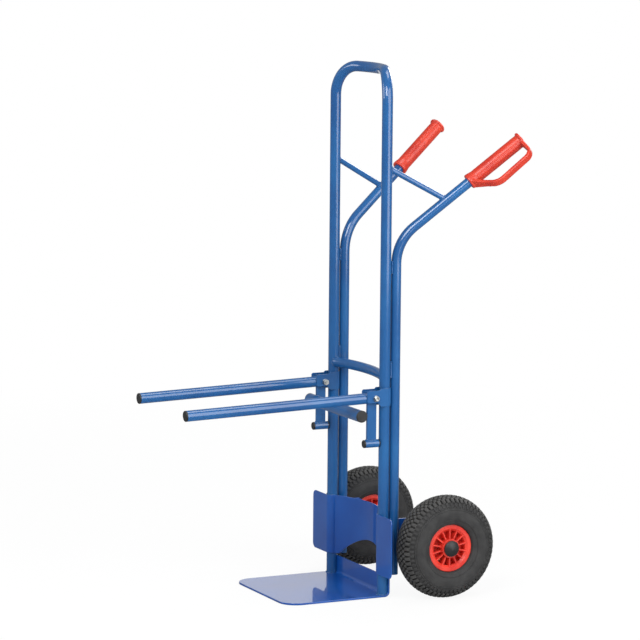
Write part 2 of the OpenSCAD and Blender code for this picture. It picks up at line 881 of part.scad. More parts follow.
module pivot_washers() {
    color(zinc) both_sides() for (x = [lug_face + weld_gap, -lug_face - weld_gap - pivot_washer_t])
        on_pivot(x) difference() {
            cylinder(d = washer_d, h = pivot_washer_t);
            translate([0, 0, -over]) cylinder(d = bolt_d + 2 * weld_gap, h = pivot_washer_t + 2 * over);
        }
}

// Sets its children on a fork arm's axis, with Z from the pivot towards the tip
module on_arm() {
    translate([half_span, -pivot_front, pivot_z]) rotate([90 + arm_fall, 0, 0]) children();
}

module fork_arm(side) {
    color(frame_blue) sided(side) difference() {
        on_arm() translate([0, 0, -arm_back]) difference() {
            cylinder(d = arm_d, h = arm_l + arm_back - plug_t);
            translate([0, 0, -over]) cylinder(d = arm_d - 2 * tube_wall, h = arm_l + arm_back + over);
        }
        on_pivot(-arm_d) cylinder(d = bolt_d + 2 * run_gap + 2 * bush_wall + 2 * weld_gap, h = 2 * arm_d);
    }
}

module pivot_bushes() {
    color(zinc) both_sides() on_pivot(-bush_l / 2) difference() {
        cylinder(d = bolt_d + 2 * run_gap + 2 * bush_wall, h = bush_l);
        translate([0, 0, -over]) cylinder(d = bolt_d + 2 * run_gap, h = bush_l + 2 * over);
    }
}

// End plug for a tube of diameter d: a domed head outwards and a stem into the tube
module end_plug(d, wall, head_t) {
    edge = head_t / 2;
    rotate_extrude() {
        square([d / 2, head_t - edge]);
        square([d / 2 - edge, head_t]);
        translate([d / 2 - edge, head_t - edge]) circle(edge);
    }
    translate([0, 0, -plug_stem]) cylinder(d = d - 2 * wall - 2 * weld_gap, h = plug_stem);
}

module arm_plugs() {
    color(plug_black) both_sides() on_arm() translate([0, 0, arm_l - plug_t])
        end_plug(arm_d, tube_wall, plug_t);
}

module fork_leg(side) {
    color(frame_blue) sided(side) difference() {
        translate([half_span - leg_t / 2, -leg_fore, pivot_z - foot_drop])
            cube([leg_t, leg_depth, foot_drop]);
        on_arm() translate([0, 0, -arm_back - over]) cylinder(d = arm_d + 2 * weld_gap, h = arm_l);
        translate([half_span, 0, pivot_z - foot_drop]) along_y() translate([0, 0, -leg_fore - over])
            cylinder(d = foot_d + 2 * weld_gap, h = leg_fore + over);
    }
}

// Places its children at the rear end of the right foot, with Z pointing to the back
module on_foot(back) {
    translate([half_span, -back, pivot_z - foot_drop]) along_y() children();
}

module fork_foot(side) {
    color(frame_blue) sided(side) on_foot(foot_front) difference() {
        cylinder(d = foot_d, h = foot_front - foot_back);
        translate([0, 0, -over]) cylinder(d = foot_d - 2 * foot_wall, h = foot_front + over);
    }
}

module foot_caps() {
    color(plug_black) both_sides() {
        on_foot(foot_back) end_plug(foot_d, foot_wall, foot_plug_t);
        on_foot(foot_front) mirror([0, 0, 1]) end_plug(foot_d, foot_wall, foot_plug_t);
    }
}

// Places its children on the axis of the fork's cross tube, with Z pointing right
module on_fork_cross(x) {
    translate([x, -fork_cross_front, pivot_z - fork_cross_drop]) along_x() children();
}

module fork_cross_tube() {
    color(frame_blue) on_fork_cross(-fork_cross_l / 2) difference() {
        cylinder(d = fork_cross_d, h = fork_cross_l);
        translate([0, 0, -over]) cylinder(d = fork_cross_d - 2 * tube_wall, h = fork_cross_l + 2 * over);
    }
}

module cross_tube_plugs() {
    color(plug_black) both_sides() on_fork_cross(fork_cross_l / 2)
        end_plug(fork_cross_d, tube_wall, plug_t);
}

toe_plate();
upright_frame();
leg_guard();
cross_tube();
tube_spacers();
handle_tube(-1);  // handle_tube_left
handle_tube(1);  // handle_tube_right
handle_brace(-1);  // handle_brace_left
handle_brace(1);  // handle_brace_right
grip(-1);  // grip_left
grip(1);  // grip_right
axle_bracket(-1);  // axle_bracket_left
axle_bracket(1);  // axle_bracket_right
axle();
axle_sleeves();
axle_washers();
hub_caps();
tyre(-1);  // tyre_left
tyre(1);  // tyre_right
inner_tube(-1);  // inner_tube_left
inner_tube(1);  // inner_tube_right
valve(-1);  // valve_left
valve(1);  // valve_right
rim_outer(-1);  // rim_outer_left
rim_outer(1);  // rim_outer_right
rim_inner(-1);  // rim_inner_left
rim_inner(1);  // rim_inner_right
rim_screws(-1);  // rim_screws_left
rim_screws(1);  // rim_screws_right
hub_bearing(-1);  // hub_bearing_left
hub_bearing(1);  // hub_bearing_right
collar(-1);  // collar_left
collar(1);  // collar_right
pivot_bolts();
pivot_nuts();
pivot_washers();
fork_arm(-1);  // fork_arm_left
fork_arm(1);  // fork_arm_right
arm_plugs();
pivot_bushes();
fork_leg(-1);  // fork_leg_left
fork_leg(1);  // fork_leg_right
fork_foot(-1);  // fork_foot_left
fork_foot(1);  // fork_foot_right
foot_caps();
fork_cross_tube();
cross_tube_plugs();
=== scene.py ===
import json
import math

import bpy
from mathutils import Matrix, Vector


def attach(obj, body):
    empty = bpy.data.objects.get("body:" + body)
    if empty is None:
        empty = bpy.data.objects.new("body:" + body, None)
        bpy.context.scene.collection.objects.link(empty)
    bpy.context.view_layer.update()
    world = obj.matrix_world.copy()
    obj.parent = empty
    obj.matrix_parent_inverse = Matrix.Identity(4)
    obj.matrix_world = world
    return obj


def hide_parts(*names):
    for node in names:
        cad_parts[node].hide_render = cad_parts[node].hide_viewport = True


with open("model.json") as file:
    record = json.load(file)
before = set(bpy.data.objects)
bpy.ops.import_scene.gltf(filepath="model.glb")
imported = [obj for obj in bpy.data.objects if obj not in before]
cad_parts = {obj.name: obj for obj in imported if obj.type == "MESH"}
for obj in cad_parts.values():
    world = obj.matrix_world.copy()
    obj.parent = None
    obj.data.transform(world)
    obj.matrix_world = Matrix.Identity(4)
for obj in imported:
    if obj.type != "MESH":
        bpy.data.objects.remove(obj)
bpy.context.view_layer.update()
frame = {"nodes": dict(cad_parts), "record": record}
print("frame loaded:", len(frame["nodes"]), "nodes")


# a shader socket that takes sums
class Wire:
    def __init__(self, tree, socket):
        self.tree = tree
        self.socket = socket

    @classmethod
    def node(cls, tree, kind, settings=None, sockets=None, out=0):
        made = tree.nodes.new(kind)
        for name, value in (settings or {}).items():
            if name == "stops":  # a ramp's places and colours
                band = made.color_ramp.elements
                while len(band) < len(value):
                    band.new(1.0)
                for element, (place, colour) in zip(band, value):
                    element.position = place
                    element.color = colour
            else:
                setattr(made, name, value)
        for name, value in (sockets or {}).items():
            if isinstance(value, Wire):
                tree.links.new(value.socket, made.inputs[name])
            else:
                made.inputs[name].default_value = value
        return cls(tree, made.outputs[out])

    def maths(self, kind, first, second=0.0, clamp=False):
        return Wire.node(self.tree, "ShaderNodeMath", {"operation": kind, "use_clamp": clamp},
                         {0: first, 1: second})

    def __add__(self, other):
        return self.maths("ADD", self, other)

    def __radd__(self, other):
        return self.maths("ADD", other, self)

    def __sub__(self, other):
        return self.maths("SUBTRACT", self, other)

    def __rsub__(self, other):
        return self.maths("SUBTRACT", other, self)

    def __mul__(self, other):
        return self.maths("MULTIPLY", self, other)

    def __rmul__(self, other):
        return self.maths("MULTIPLY", other, self)

    def __truediv__(self, other):
        return self.maths("DIVIDE", self, other)

    def __rtruediv__(self, other):
        return self.maths("DIVIDE", other, self)

    def __abs__(self):
        return self.maths("ABSOLUTE", self)

    def above(self, other):  # 1 where this is the greater
        return self.maths("GREATER_THAN", self, other)

    def clamped(self):
        return self.maths("ADD", self, 0.0, clamp=True)

    def sine(self):
        return self.maths("SINE", self)

    def root(self):
        return self.maths("SQRT", self)


def objectPlace(tree):
    return Wire.node(tree, "ShaderNodeTexCoord", out="Object")


def split(wire):
    first = Wire.node(wire.tree, "ShaderNodeSeparateXYZ", None, {"Vector": wire})
    return [Wire(wire.tree, socket) for socket in first.socket.node.outputs]


def noise(place, scale, detail):
    return Wire.node(place.tree, "ShaderNodeTexNoise", None,
                     {"Vector": place, "Scale": scale, "Detail": detail})


def ramp(wire, *stops):
    return Wire.node(wire.tree, "ShaderNodeValToRGB", {"stops": stops}, {"Fac": wire})


def blendColour(share, first, second):
    return Wire.node(share.tree, "ShaderNodeMix", {"data_type": "RGBA"},
                     {0: share, 6: first, 7: second}, out=2)


def bump(height, strength, depth, under=None):  # under: the bump that this one lies on
    sockets = {"Height": height, "Strength": strength, "Distance": depth}
    if under is not None:
        sockets["Normal"] = under
    return Wire.node(height.tree, "ShaderNodeBump", None, sockets)


def ridge(wire, centre, half):  # 1 on a line, 0 away from it
    return (1 - abs(wire - centre) / half).clamped()


def shade(name, build, gloss):
    made = bpy.data.materials.new(name)
    made.use_nodes = True
    tree = made.node_tree
    shader = tree.nodes["Principled BSDF"]
    for socket, value in gloss.items():
        shader.inputs[socket].default_value = value
    for socket, wire in build(objectPlace(tree)).items():
        tree.links.new(wire.socket, shader.inputs[socket])
    return made


# how a screen's colour levels turn into linear ones
screenCurve = {"top": 255, "straightTo": 0.04045, "slope": 12.92, "shift": 0.055, "power": 2.4}
plainWhite = (1, 1, 1, 1)
plainBlack = (0, 0, 0, 1)


def linear(level):
    share = level / screenCurve["top"]
    if share <= screenCurve["straightTo"]:
        return share / screenCurve["slope"]
    return ((share + screenCurve["shift"]) / (1 + screenCurve["shift"])) ** screenCurve["power"]


def rgb(red, green, blue):
    return (linear(red), linear(green), linear(blue), 1.0)


def speckled(place, look):  # broad clouds, fine grain, and the colour that they give together
    cloud = noise(place, look["cloudScale"], look["cloudDetail"])
    grain = noise(place, look["grainScale"], look["grainDetail"])
    mixed = cloud * look["cloudShare"] + grain * (1 - look["cloudShare"])
    tone = ramp(mixed, (look["deepAt"], look["deep"]), (look["lightAt"], look["light"]))
    return cloud, grain, tone


# powder coat in two copies: the sheet pieces have the deeper blue, and the bent tubes a clearer, lighter copy
# of the same paint, which is painted light
coatLook = {
    "cloudScale": 7, "cloudDetail": 3, "cloudShare": 0.8, "cloudRough": 0.10,
    "grainScale": 2400, "grainDetail": 1, "grainRough": 0.04, "deepAt": 0.32, "lightAt": 0.68,
    "peelDetail": 1.5, "peelShare": 0.02, "peelDepth": 0.00006, "waveDetail": 1, "waveDepth": 0.0002,
}
# the tubes' copy: the same blue as the sheets, painted lighter and clearer for the light that falls on the
# tubes
litTubeCoatLook = {
    **coatLook, "deep": rgb(25, 76, 133), "light": rgb(33, 96, 154), "rough": 0.26,
    "peelScale": 520, "waveScale": 70, "waveShare": 0.012,
    "gloss": {"Coat Weight": 1.0, "Coat Roughness": 0.12, "Coat IOR": 1.62, "Specular IOR Level": 0.1},
}
sheetCoatLook = {
    **coatLook, "deep": rgb(12, 70, 150), "light": rgb(20, 86, 168), "rough": 0.24,
    "peelScale": 560, "waveScale": 60, "waveShare": 0.004,
    "gloss": {"Coat Weight": 0.9, "Coat Roughness": 0.01, "Coat IOR": 1.6, "Specular IOR Level": 0.3},
}


def powderCoat(look):
    def build(place):
        cloud, grain, tone = speckled(place, look)
        peel = noise(place, look["peelScale"], look["peelDetail"])
        wave = noise(place, look["waveScale"], look["waveDetail"])
        rough = look["rough"] + cloud * look["cloudRough"] + grain * look["grainRough"]
        orangePeel = bump(peel, look["peelShare"], look["peelDepth"])
        skin = bump(wave, look["waveShare"], look["waveDepth"], orangePeel)
        return {"Base Color": tone, "Roughness": rough, "Normal": skin}
    return build


litTubeCoat = shade("blueTubeCoatPaintedLight", powderCoat(litTubeCoatLook), litTubeCoatLook["gloss"])
sheetCoat = shade("blueSheetCoat", powderCoat(sheetCoatLook), sheetCoatLook["gloss"])

# moulded plastics: red grips, red rims and black plugs
gripLook = {
    "deep": rgb(188, 38, 20), "light": rgb(210, 58, 32), "deepAt": 0.3, "lightAt": 0.7,
    "cloudScale": 22, "cloudDetail": 3, "cloudShare": 0.97, "grainScale": 1500, "grainDetail": 2,
    "rough": 0.30, "grainRough": 0.12, "bumpShare": 0.015, "bumpDepth": 0.00006,
    "gloss": {"Specular IOR Level": 0.7},
}
rimLook = {
    "deep": rgb(200, 38, 29), "light": rgb(230, 66, 50), "deepAt": 0.3, "lightAt": 0.7,
    "cloudScale": 30, "cloudDetail": 2, "cloudShare": 1.0, "grainScale": 900, "grainDetail": 2,
    "rough": 0.30, "grainRough": 0.12, "bumpShare": 0.25, "bumpDepth": 0.00006,
    "gloss": {"Specular IOR Level": 0.5},
}
plugLook = {
    "deep": rgb(24, 25, 26), "light": rgb(48, 49, 50), "deepAt": 0.3, "lightAt": 0.75,
    "cloudScale": 70, "cloudDetail": 3, "cloudShare": 0.6, "grainScale": 1800, "grainDetail": 2,
    "rough": 0.38, "grainRough": 0.2, "bumpShare": 0.35, "bumpDepth": 0.00015,
    "gloss": {"Specular IOR Level": 0.5},
}


def mouldedPlastic(look):
    def build(place):
        grain, tone = speckled(place, look)[1:]
        return {"Base Color": tone, "Roughness": look["rough"] + grain * look["grainRough"],
                "Normal": bump(grain, look["bumpShare"], look["bumpDepth"])}
    return build


redGrip = shade("redGripPlastic", mouldedPlastic(gripLook), gripLook["gloss"])
redRim = shade("redRimPlastic", mouldedPlastic(rimLook), rimLook["gloss"])
blackPlug = shade("blackPlugPlastic", mouldedPlastic(plugLook), plugLook["gloss"])

tyreLook = {
    "axle": (0.137, 0.130),  # Y and Z of the axle
    "side": 0.217,  # X of the middle of the right tread
    "deep": rgb(36, 36, 37), "light": rgb(62, 62, 62), "deepAt": 0.3, "lightAt": 0.72,
    "cloudScale": 45, "cloudDetail": 4, "cloudShare": 0.6, "grainScale": 1400, "grainDetail": 2,
    "rough": 0.60, "cloudRough": 0.22, "bumpShare": 0.6, "bumpDepth": 0.0006,
    "rings": ((0.0665, 0.0008), (0.0840, 0.0009)), "ringShare": 0.8,  # raised lines: radius and half width
    "dust": rgb(86, 85, 83), "wornFrom": 0.112, "wornRun": 0.018,
    # painted shade in the tread's grooves: its dark colour, its strength and the depth over which it fades
    # in, then the crown circle, the blocks' top and the radius where the tread starts, which place it
    "treadShade": rgb(14, 14, 14), "treadShadeShare": 0.8, "treadShadeFade": 0.0022,
    "crownPlace": 0.0818, "blockTop": 0.0476, "treadFrom": 0.1165,
    "gloss": {"Specular IOR Level": 0.4},
}


def distance(across, up):  # over two offsets at right angles
    return (across * across + up * up).root()


def fromAxle(y, z):
    return distance(y - tyreLook["axle"][0], z - tyreLook["axle"][1])


def tyreRubber(place):
    look = tyreLook
    x, y, z = split(place)
    out = fromAxle(y, z)
    cloud, grain, tone = speckled(place, look)
    rings = sum(ridge(out, centre, half) for centre, half in look["rings"])
    worn = ((out - look["wornFrom"]) / look["wornRun"]).clamped() * cloud
    dusty = blendColour(worn, tone, look["dust"])
    # painted shade: out on the tread, the carcass between the blocks, below their tops, is painted darker
    fromCrown = distance(abs(x) - look["side"], out - look["crownPlace"])
    belowTop = ((look["blockTop"] - fromCrown) / look["treadShadeFade"]).clamped()
    sunk = belowTop * out.above(look["treadFrom"])
    height = rings * look["ringShare"] + grain * (1 - look["ringShare"])
    return {"Base Color": blendColour(sunk * look["treadShadeShare"], dusty, look["treadShade"]),
            "Roughness": look["rough"] + cloud * look["cloudRough"],
            "Normal": bump(height, look["bumpShare"], look["bumpDepth"])}


rubber = shade("tyreRubber", tyreRubber, tyreLook["gloss"])

airTubeLook = {
    "deep": rgb(22, 22, 23), "light": rgb(38, 38, 38), "deepAt": 0.3, "lightAt": 0.7,
    "cloudScale": 60, "cloudDetail": 3, "cloudShare": 1.0, "grainScale": 900, "grainDetail": 2,
    "rough": 0.5, "cloudRough": 0.2, "bumpShare": 0.2, "bumpDepth": 0.0002,
}


def airTubeRubber(place):
    look = airTubeLook
    cloud, grain, tone = speckled(place, look)
    return {"Base Color": tone, "Roughness": look["rough"] + cloud * look["cloudRough"],
            "Normal": bump(grain, look["bumpShare"], look["bumpDepth"])}


tubeRubber = shade("airTubeRubber", airTubeRubber, {})

zincLook = {
    "stops": ((0.30, rgb(186, 190, 192)), (0.55, rgb(214, 214, 208)), (0.75, rgb(200, 204, 212))),
    "cloudScale": 90, "cloudDetail": 4, "turnScale": (3200, 140, 140), "turnDetail": 2,
    "rough": 0.24, "turnRough": 0.12, "bumpShare": 0.10, "bumpDepth": 0.0001,
    "gloss": {"Metallic": 1.0},
}


def zincPlatedSteel(place):  # turned marks run round the X axis
    look = zincLook
    cloud = noise(place, look["cloudScale"], look["cloudDetail"])
    squeezed = Wire.node(place.tree, "ShaderNodeMapping", None, {"Vector": place, "Scale": look["turnScale"]})
    turned = noise(squeezed, 1, look["turnDetail"])
    return {"Base Color": ramp(cloud, *look["stops"]),
            "Roughness": look["rough"] + turned * look["turnRough"],
            "Normal": bump(turned, look["bumpShare"], look["bumpDepth"])}


zinc = shade("zincPlatedSteel", zincPlatedSteel, zincLook["gloss"])

valveLook = {
    "split": 0.0385,  # the rubber ends and the brass starts this far from the axle
    "rubber": rgb(34, 34, 35), "brass": rgb(205, 176, 110), "threadScale": 9000,
    "cloudScale": 300, "cloudDetail": 2, "rough": 0.55, "brassSmooth": 0.3, "cloudRough": 0.1,
    "bumpShare": 0.4, "bumpDepth": 0.0003,
}


def valveStem(place):
    look = valveLook
    y, z = split(place)[1:]
    out = fromAxle(y, z)
    metal = (look["split"] - out).above(0.0)
    thread = (out * look["threadScale"]).sine() * 0.5 + 0.5  # from 0 to 1
    cloud = noise(place, look["cloudScale"], look["cloudDetail"])
    rough = look["rough"] - metal * look["brassSmooth"] + cloud * look["cloudRough"]
    return {"Base Color": blendColour(metal, look["rubber"], look["brass"]), "Metallic": metal,
            "Roughness": rough, "Normal": bump(thread * metal, look["bumpShare"], look["bumpDepth"])}


valveFinish = shade("valveStem", valveStem, {})
print("finishes made:", len(bpy.data.materials))

finishOf = {
    "toe_plate": sheetCoat, "leg_guard": sheetCoat, "axle_bracket": sheetCoat, "collar": litTubeCoat,
    "upright_frame": litTubeCoat, "cross_tube": litTubeCoat, "tube_spacers": litTubeCoat, "handle_tube": litTubeCoat,
    "handle_brace": litTubeCoat, "fork_arm": litTubeCoat, "fork_leg": litTubeCoat, "fork_foot": litTubeCoat,
    "fork_cross_tube": litTubeCoat,
    "grip": redGrip, "rim_outer": redRim, "rim_inner": redRim,
    "tyre": rubber, "inner_tube": tubeRubber, "valve": valveFinish,
    "axle": zinc, "axle_sleeves": zinc, "axle_washers": zinc, "rim_screws": zinc,
    "pivot_bolts": zinc, "pivot_nuts": zinc, "pivot_washers": zinc, "pivot_bushes": zinc,
    "hub_caps": blackPlug, "hub_bearing": blackPlug, "arm_plugs": blackPlug, "foot_caps": blackPlug,
    "cross_tube_plugs": blackPlug,
}


def dress(piece, finish):
    piece.data.materials.clear()
    piece.data.materials.append(finish)


for nodeName, nodeObject in frame["nodes"].items():
    dress(nodeObject, finishOf[nodeName.removesuffix("_left").removesuffix("_right")])
print("finishes given to the frame")


def freshStart():
    if bpy.context.object and bpy.context.object.mode != "OBJECT":
        bpy.ops.object.mode_set(mode="OBJECT")
    bpy.ops.object.select_all(action="DESELECT")


def pick(piece):  # the only selected piece, and the active one
    freshStart()
    piece.select_set(True)
    bpy.context.view_layer.objects.active = piece


def editAll(piece):
    pick(piece)
    bpy.ops.object.mode_set(mode="EDIT")
    bpy.ops.mesh.select_all(action="SELECT")


def ownCopy(piece, name):
    twin = piece.copy()
    twin.data = piece.data.copy()
    twin.name = name
    bpy.context.collection.objects.link(twin)
    return twin


def applyAll(piece):
    pick(piece)
    for modifier in list(piece.modifiers):
        bpy.ops.object.modifier_apply(modifier=modifier.name)


def settle(piece):  # a piece's place, turn and scale go into its mesh
    pick(piece)
    bpy.ops.object.transform_apply(location=True, rotation=True, scale=True)


def joinAs(pieces, name):
    pick(pieces[0])
    for piece in pieces:
        piece.select_set(True)
    bpy.ops.object.join()
    bpy.ops.object.shade_smooth()
    joined = bpy.context.object
    joined.name = name
    return joined


mergeLook = {"within": 0.00002, "flatWithin": 0.4}  # metres and degrees
bodyOf = {node: body for body, group in frame["record"]["behaviour"]["bodies"].items() for node in group}


def mergedCopy(node, name):  # a node's triangles are loose, so its copy is closed first
    piece = bpy.data.objects.new(name, frame["nodes"][node].data.copy())
    bpy.context.collection.objects.link(piece)
    editAll(piece)
    bpy.ops.mesh.remove_doubles(threshold=mergeLook["within"])
    bpy.ops.mesh.dissolve_limited(angle_limit=math.radians(mergeLook["flatWithin"]))
    bpy.ops.object.mode_set(mode="OBJECT")
    bpy.ops.object.shade_smooth()
    return piece


def standFor(piece, node):
    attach(piece, bodyOf[node])
    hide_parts(node)


# sheet and bar pieces with softened edges, which stand for the sharp-edged nodes
edgeLook = {
    "radius": {
        "toe_plate": 0.0010, "leg_guard": 0.0008, "axle_bracket_left": 0.0008, "axle_bracket_right": 0.0008,
        "collar_left": 0.0005, "collar_right": 0.0005, "fork_leg_left": 0.0008, "fork_leg_right": 0.0008,
    },
    "steps": 2, "sharperThan": 32, "flatness": 100,
}


def softenEdges(node, radius):
    piece = mergedCopy(node, "soft_" + node)
    edge = piece.modifiers.new("edge", "BEVEL")
    edge.width = radius
    edge.segments = edgeLook["steps"]
    edge.limit_method = "ANGLE"
    edge.angle_limit = math.radians(edgeLook["sharperThan"])
    flat = piece.modifiers.new("flat", "WEIGHTED_NORMAL")  # large faces stay flat in the light
    flat.mode = "FACE_AREA"
    flat.weight = edgeLook["flatness"]
    applyAll(piece)
    standFor(piece, node)


for softNode, softRadius in edgeLook["radius"].items():
    softenEdges(softNode, softRadius)
print("edges softened:", len(edgeLook["radius"]), "pieces")

# the grips as mouldings: all their edges are rounded off
mouldLook = {"voxel": 0.0011, "easing": 0.5, "smoothing": 18, "fullness": 0.0008}


def mouldGrip(node):
    piece = mergedCopy(node, "moulded_" + node)
    skin = piece.modifiers.new("skin", "REMESH")
    skin.mode = "VOXEL"
    skin.voxel_size = mouldLook["voxel"]
    skin.use_smooth_shade = True
    ease = piece.modifiers.new("ease", "SMOOTH")
    ease.factor = mouldLook["easing"]
    ease.iterations = mouldLook["smoothing"]
    full = piece.modifiers.new("full", "DISPLACE")  # makes up for what the smoothing takes off
    full.mid_level = 0.0
    full.strength = mouldLook["fullness"]
    applyAll(piece)
    dress(piece, redGrip)
    standFor(piece, node)
    print(piece.name, len(piece.data.polygons), "faces")


mouldGrip("grip_left")
mouldGrip("grip_right")

# the tyres: a smooth carcass with rings on its sides and a tread of small blocks
treadLook = {
    "ring": 0.0855, "halfWidth": 0.0425, "halfHeight": 0.0410, "rounds": 160, "steps": 64,
    "bead": 0.0485, "flange": 0.0603, "beadHalf": 0.0235, "cutter": 0.080, "cutterSides": 160,
    "ridgeTurns": (64, 71, 108), "ridge": 0.0011, "ridgeRounds": 128, "ridgeSteps": 8,
    "outer": 0.1298, "crown": 0.048, "count": 60, "soft": 0.0007, "softSteps": 1,
    "rows": (  # turn from the middle, across, along, depth, turned, shifted, on both sides
        (0.0, 0.0078, 0.0078, 0.0090, 45, 0.0, False), (10.2, 0.0078, 0.0078, 0.0090, 45, 0.5, True),
        (20.7, 0.0076, 0.0076, 0.0090, 45, 0.0, True), (34.2, 0.0150, 0.0084, 0.0090, 0, 0.5, True),
    ),
    "teeth": {"turn": 53, "across": 0.0125, "along": 0.0076, "depth": 0.0060, "proud": 0.0018},
}


def wheelRing(major, minor, across, stretch, rounds, steps):  # a ring round the X axis
    freshStart()
    bpy.ops.mesh.primitive_torus_add(major_segments=rounds, minor_segments=steps, major_radius=major,
                                     minor_radius=minor)
    ring = bpy.context.object
    ring.scale = (1, 1, stretch)
    settle(ring)
    ring.rotation_euler = (0, math.pi / 2, 0)
    ring.location = (across, 0, 0)
    settle(ring)
    return ring


def boreOut(piece, radius, low, high):
    freshStart()
    bpy.ops.mesh.primitive_cylinder_add(vertices=treadLook["cutterSides"], radius=radius, depth=high - low,
                                        location=((low + high) / 2, 0, 0), rotation=(0, math.pi / 2, 0))
    cutter = bpy.context.object
    cut = piece.modifiers.new("cut", "BOOLEAN")
    cut.operation = "DIFFERENCE"
    cut.solver = "EXACT"
    cut.object = cutter
    applyAll(piece)
    bpy.data.objects.remove(cutter)


def treadBlock(across, along, depth, turned, place, tilt):
    freshStart()
    bpy.ops.mesh.primitive_cube_add(size=1.0)
    block = bpy.context.object
    block.scale = (across, along, depth)
    settle(block)
    block.rotation_euler = (0, 0, math.radians(turned))
    settle(block)
    edge = block.modifiers.new("edge", "BEVEL")
    edge.width = treadLook["soft"]
    edge.segments = treadLook["softSteps"]
    applyAll(block)
    block.location = place
    block.rotation_euler = (0, tilt, 0)
    settle(block)
    return block


def roundOf(block, shifted):  # a full round of blocks, shifted by a share of their pitch
    pitch = 2 * math.pi / treadLook["count"]
    block.rotation_euler = (shifted * pitch, 0, 0)
    settle(block)
    freshStart()
    bpy.ops.object.empty_add(rotation=(pitch, 0, 0))
    spinner = bpy.context.object
    row = block.modifiers.new("row", "ARRAY")
    row.use_relative_offset = False
    row.use_object_offset = True
    row.offset_object = spinner
    row.count = treadLook["count"]
    applyAll(block)
    bpy.data.objects.remove(spinner)
    return block


def makeCarcass():
    look = treadLook
    carcass = wheelRing(look["ring"], look["halfHeight"], 0, look["halfWidth"] / look["halfHeight"],
                        look["rounds"], look["steps"])
    boreOut(carcass, look["bead"], -look["cutter"], look["cutter"])
    boreOut(carcass, look["flange"], look["beadHalf"], look["cutter"])
    boreOut(carcass, look["flange"], -look["cutter"], -look["beadHalf"])
    return carcass


def makeRidge(face, turn):
    look = treadLook
    angle = math.radians(turn)
    return wheelRing(look["ring"] + look["halfHeight"] * math.cos(angle), look["ridge"],
                     face * look["halfWidth"] * math.sin(angle), 1.0, look["ridgeRounds"], look["ridgeSteps"])


def makeTeeth(face):
    look, teeth = treadLook, treadLook["teeth"]
    angle = face * math.radians(teeth["turn"])
    sunk = teeth["proud"] - teeth["depth"] / 2
    place = ((look["halfWidth"] + sunk) * math.sin(angle), 0,
             look["ring"] + (look["halfHeight"] + sunk) * math.cos(angle))
    return roundOf(treadBlock(teeth["across"], teeth["along"], teeth["depth"], 0, place, angle), 0.0)


def makeTyre():
    look = treadLook
    pieces = [makeCarcass()]
    for face in (-1, 1):
        for turn in look["ridgeTurns"]:
            pieces.append(makeRidge(face, turn))
    for turn, across, along, depth, turned, shifted, both in look["rows"]:
        for face in (-1, 1) if both else (1,):
            angle = face * math.radians(turn)
            reach = look["crown"] - depth / 2
            place = (reach * math.sin(angle), 0, look["outer"] - look["crown"] + reach * math.cos(angle))
            pieces.append(roundOf(treadBlock(across, along, depth, turned, place, angle), shifted))
    for face in (-1, 1):
        pieces.append(makeTeeth(face))
    return joinAs(pieces, "tyreModel")


def fitTyres():
    model = makeTyre()
    dress(model, rubber)
    for node, side in (("tyre_left", -1), ("tyre_right", 1)):
        tyre = ownCopy(model, "treaded_" + node)
        tyre.location = (side * tyreLook["side"], *tyreLook["axle"])
        settle(tyre)
        standFor(tyre, node)
        print(tyre.name, len(tyre.data.polygons), "faces")
    bpy.data.objects.remove(model)


fitTyres()

# the right handle, in metres and degrees: where it stands, where it bends and where its end points
handleLine = {
    "side": 0.145, "back": 0.029, "turnHeight": 0.838, "bendRadius": 0.115, "lift": 38.4, "splay": 14.4,
}


def handleEnd():  # where the straight end starts, and its direction
    lift, splay = math.radians(handleLine["lift"]), math.radians(handleLine["splay"])
    turn = math.pi / 2 - lift
    run = handleLine["bendRadius"] * (1 - math.cos(turn))
    start = Vector((handleLine["side"] + run * math.sin(splay), handleLine["back"] + run * math.cos(splay),
                    handleLine["turnHeight"] + handleLine["bendRadius"] * math.sin(turn)))
    along = Vector((math.sin(splay) * math.cos(lift), math.cos(splay) * math.cos(lift), math.sin(lift)))
    return start, along


def flipped(point):  # the same place on the left side
    return Vector((-point[0], point[1], point[2]))


# fine ribs across each grip's sleeve
ribLook = {
    "radius": 0.0172, "height": 0.0005, "widen": 7.0, "rounds": 40, "steps": 16,
    "pitch": 0.004, "count": 32, "gripFrom": 0.177, "ribsFrom": 0.026,
}


def makeRibs():
    freshStart()
    bpy.ops.mesh.primitive_torus_add(major_segments=ribLook["rounds"], minor_segments=ribLook["steps"],
                                     major_radius=ribLook["radius"], minor_radius=ribLook["height"])
    ribs = bpy.context.object
    editAll(ribs)
    bpy.ops.transform.resize(value=(1, 1, ribLook["widen"]), center_override=(0, 0, 0))
    bpy.ops.object.mode_set(mode="OBJECT")
    row = ribs.modifiers.new("row", "ARRAY")
    row.use_relative_offset = False
    row.use_constant_offset = True
    row.constant_offset_displace = (0, 0, ribLook["pitch"])
    row.count = ribLook["count"]
    applyAll(ribs)
    return ribs


def ribGrips():
    ribs = makeRibs()
    start, along = handleEnd()
    first = start + (ribLook["gripFrom"] + ribLook["ribsFrom"]) * along
    for name, place, way in (("gripRibs_right", first, along),
                             ("gripRibs_left", flipped(first), flipped(along))):
        side = ownCopy(ribs, name)
        turn = Vector((0, 0, 1)).rotation_difference(way).to_matrix().to_4x4()
        side.matrix_world = Matrix.Translation(place) @ turn
        settle(side)
        bpy.ops.object.shade_smooth()
        dress(side, redGrip)
        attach(side, "frame")
    bpy.data.objects.remove(ribs)


ribGrips()
print("grips ribbed")

